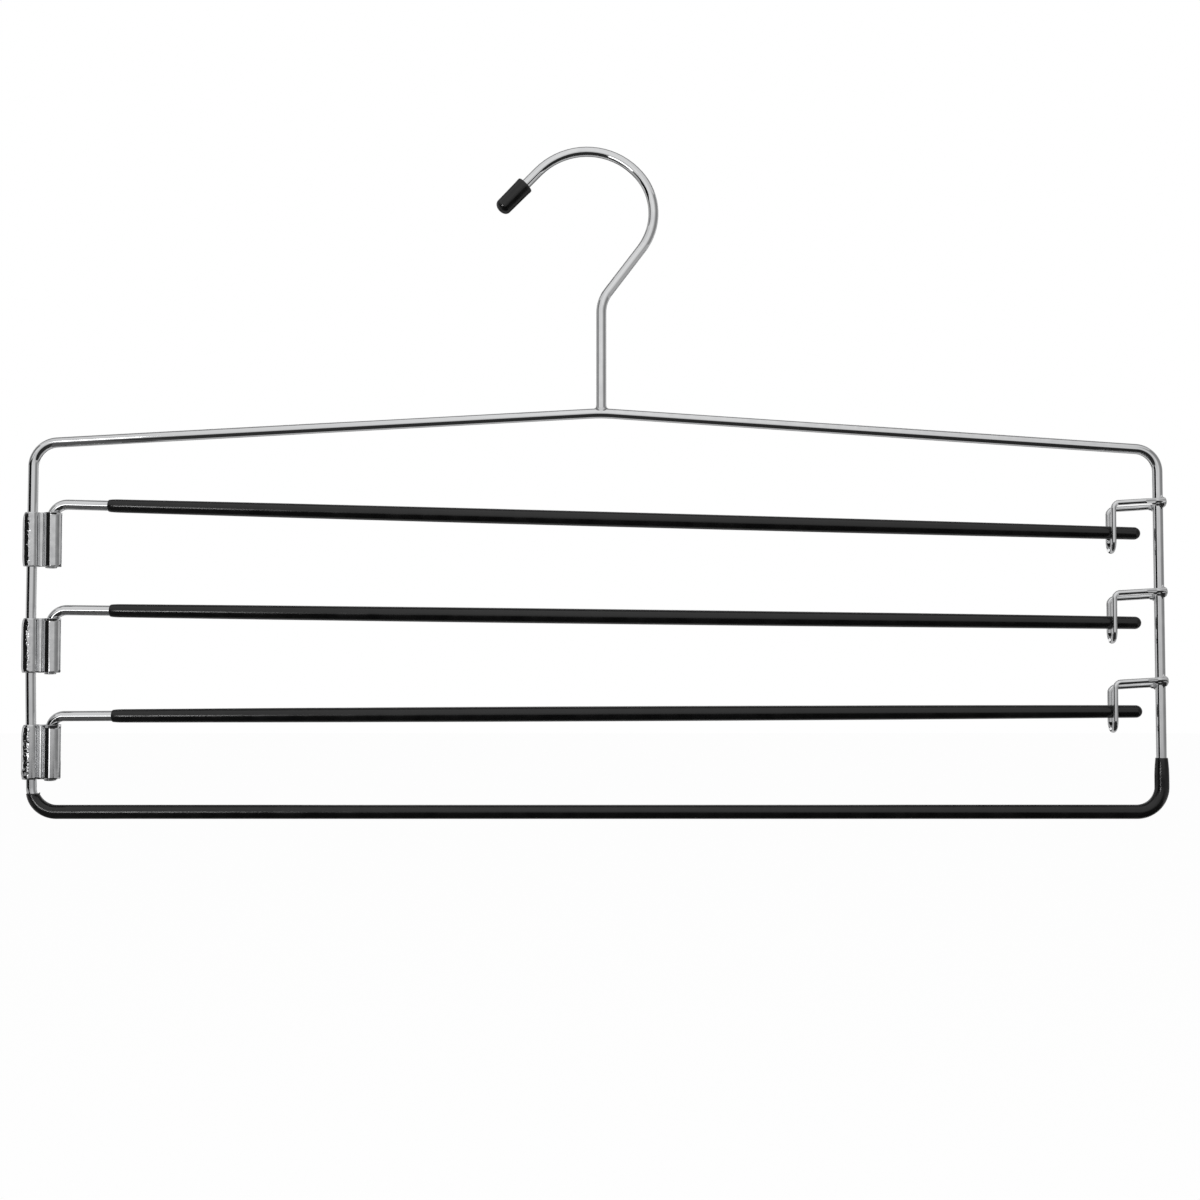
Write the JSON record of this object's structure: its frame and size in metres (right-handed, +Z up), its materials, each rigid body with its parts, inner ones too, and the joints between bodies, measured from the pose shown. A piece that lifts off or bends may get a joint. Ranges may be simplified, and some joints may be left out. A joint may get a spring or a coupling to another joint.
{
  "type": "folding pants hanger",
  "caption": "Chromed wire trouser hanger with a rail hook and sleeved bars that lift out of wire keepers and swing aside on folded sheet clips.",
  "frame": {"origin": "the line inside the hook's crown where it hangs on a rail, in the middle plane of the wire", "axes": "+Z up, +X towards the free ends of the swing arms, -Y towards the front"},
  "size_m": [0.3964, 0.0086, 0.2341],
  "materials": {
    "chromed_wire": "bright chrome plate on drawn steel wire",
    "chromed_strip": "chrome plate on folded and crimped steel strip",
    "chromed_weld": "chrome plate over a small rough weld bead",
    "black_sleeve": "satin black soft vinyl coating",
    "black_cap": "satin black soft vinyl cap"
  },
  "bodies": {
    "frame": {"frame_wire": "chromed_wire", "bottom_bar_sleeve": "black_sleeve", "hook_wire": "chromed_wire", "hook_weld": "chromed_weld", "hook_tip_cap": "black_cap", "upper_keeper": "chromed_wire", "upper_keeper_welds": "chromed_weld", "middle_keeper": "chromed_wire", "middle_keeper_welds": "chromed_weld", "lower_keeper": "chromed_wire", "lower_keeper_welds": "chromed_weld"},
    "upper_clip": {"upper_hinge_clip": "chromed_strip"},
    "middle_clip": {"middle_hinge_clip": "chromed_strip"},
    "lower_clip": {"lower_hinge_clip": "chromed_strip"},
    "upper_arm": {"upper_arm_wire": "chromed_wire", "upper_arm_sleeve": "black_sleeve"},
    "middle_arm": {"middle_arm_wire": "chromed_wire", "middle_arm_sleeve": "black_sleeve"},
    "lower_arm": {"lower_arm_wire": "chromed_wire", "lower_arm_sleeve": "black_sleeve"}
  },
  "joints": [
    {"name": "upper_arm_lift", "type": "hinge", "parent": "frame", "child": "upper_clip", "pos_m": [-0.1925, 0, -0.1341], "axis": [0, -1, 0], "range_deg": [0, 2.4]},
    {"name": "upper_arm_swing", "type": "hinge", "parent": "upper_clip", "child": "upper_arm", "pos_m": [-0.18505, 0, -0.1341], "axis": [0, 0, -1], "range_deg": [-135, 135]},
    {"name": "middle_arm_lift", "type": "hinge", "parent": "frame", "child": "middle_clip", "pos_m": [-0.1925, 0, -0.1708], "axis": [0, -1, 0], "range_deg": [0, 2.4]},
    {"name": "middle_arm_swing", "type": "hinge", "parent": "middle_clip", "child": "middle_arm", "pos_m": [-0.18505, 0, -0.1708], "axis": [0, 0, -1], "range_deg": [-135, 135]},
    {"name": "lower_arm_lift", "type": "hinge", "parent": "frame", "child": "lower_clip", "pos_m": [-0.1925, 0, -0.2075], "axis": [0, -1, 0], "range_deg": [0, 2.4]},
    {"name": "lower_arm_swing", "type": "hinge", "parent": "lower_clip", "child": "lower_arm", "pos_m": [-0.18505, 0, -0.2075], "axis": [0, 0, -1], "range_deg": [-135, 135]}
  ]
}
